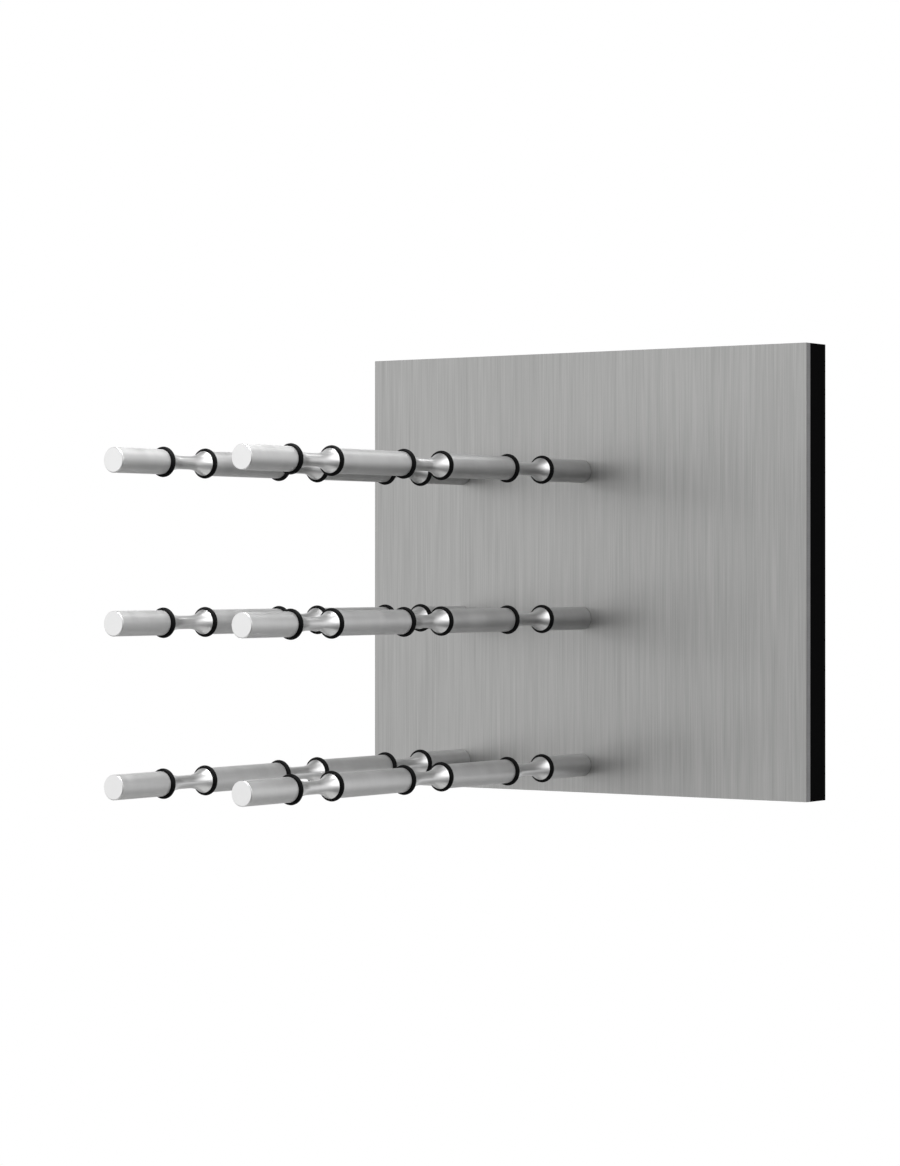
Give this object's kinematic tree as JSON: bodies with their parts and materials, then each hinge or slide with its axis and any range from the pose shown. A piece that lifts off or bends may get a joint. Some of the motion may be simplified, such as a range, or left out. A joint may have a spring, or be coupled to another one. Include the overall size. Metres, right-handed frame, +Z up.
{
  "type": "wine rack",
  "caption": "Wall-hung wine rack: a brushed metal panel with rows of long horizontal aluminium pegs, whose turned saddles and rubber O-rings cradle bottles laid label-out.",
  "frame": {"origin": "middle of the wall cleat's back face, in the plane of the wall, on the panel's vertical centre line", "axes": "+Z up, +Y into the wall, +X to the right of someone who faces the rack; the pegs point along -Y"},
  "size_m": [0.3556, 0.4019, 0.3048],
  "materials": {
    "brushed_face": "vertical brushed grain, satin",
    "black_core": "board painted matte black",
    "satin_aluminium": "satin anodised, turned",
    "black_rubber": "matte moulded",
    "zinc_steel": "satin zinc plate",
    "mill_aluminium": "mill, satin"
  },
  "bodies": {
    "wall_bracket": {"wall_cleat": "mill_aluminium"},
    "rack": {"face_sheet": "brushed_face", "core_board": "black_core", "panel_cleat": "mill_aluminium", "cleat_screw_left": "zinc_steel", "cleat_screw_right": "zinc_steel", "peg_top_left": "satin_aluminium", "oring_top_left_1": "black_rubber", "oring_top_left_2": "black_rubber", "oring_top_left_3": "black_rubber", "oring_top_left_4": "black_rubber", "oring_top_left_5": "black_rubber", "oring_top_left_6": "black_rubber", "peg_washer_top_left": "zinc_steel", "peg_screw_top_left": "zinc_steel", "peg_top_right": "satin_aluminium", "oring_top_right_1": "black_rubber", "oring_top_right_2": "black_rubber", "oring_top_right_3": "black_rubber", "oring_top_right_4": "black_rubber", "oring_top_right_5": "black_rubber", "oring_top_right_6": "black_rubber", "peg_washer_top_right": "zinc_steel", "peg_screw_top_right": "zinc_steel", "peg_middle_left": "satin_aluminium", "oring_middle_left_1": "black_rubber", "oring_middle_left_2": "black_rubber", "oring_middle_left_3": "black_rubber", "oring_middle_left_4": "black_rubber", "oring_middle_left_5": "black_rubber", "oring_middle_left_6": "black_rubber", "peg_washer_middle_left": "zinc_steel", "peg_screw_middle_left": "zinc_steel", "peg_middle_right": "satin_aluminium", "oring_middle_right_1": "black_rubber", "oring_middle_right_2": "black_rubber", "oring_middle_right_3": "black_rubber", "oring_middle_right_4": "black_rubber", "oring_middle_right_5": "black_rubber", "oring_middle_right_6": "black_rubber", "peg_washer_middle_right": "zinc_steel", "peg_screw_middle_right": "zinc_steel", "peg_bottom_left": "satin_aluminium", "oring_bottom_left_1": "black_rubber", "oring_bottom_left_2": "black_rubber", "oring_bottom_left_3": "black_rubber", "oring_bottom_left_4": "black_rubber", "oring_bottom_left_5": "black_rubber", "oring_bottom_left_6": "black_rubber", "peg_washer_bottom_left": "zinc_steel", "peg_screw_bottom_left": "zinc_steel", "peg_bottom_right": "satin_aluminium", "oring_bottom_right_1": "black_rubber", "oring_bottom_right_2": "black_rubber", "oring_bottom_right_3": "black_rubber", "oring_bottom_right_4": "black_rubber", "oring_bottom_right_5": "black_rubber", "oring_bottom_right_6": "black_rubber", "peg_washer_bottom_right": "zinc_steel", "peg_screw_bottom_right": "zinc_steel"}
  },
  "joints": [
    {"name": "panel_lift", "type": "slide", "parent": "wall_bracket", "child": "rack", "axis": [0, 0, 1], "range_m": [0, 0.01]}
  ]
}
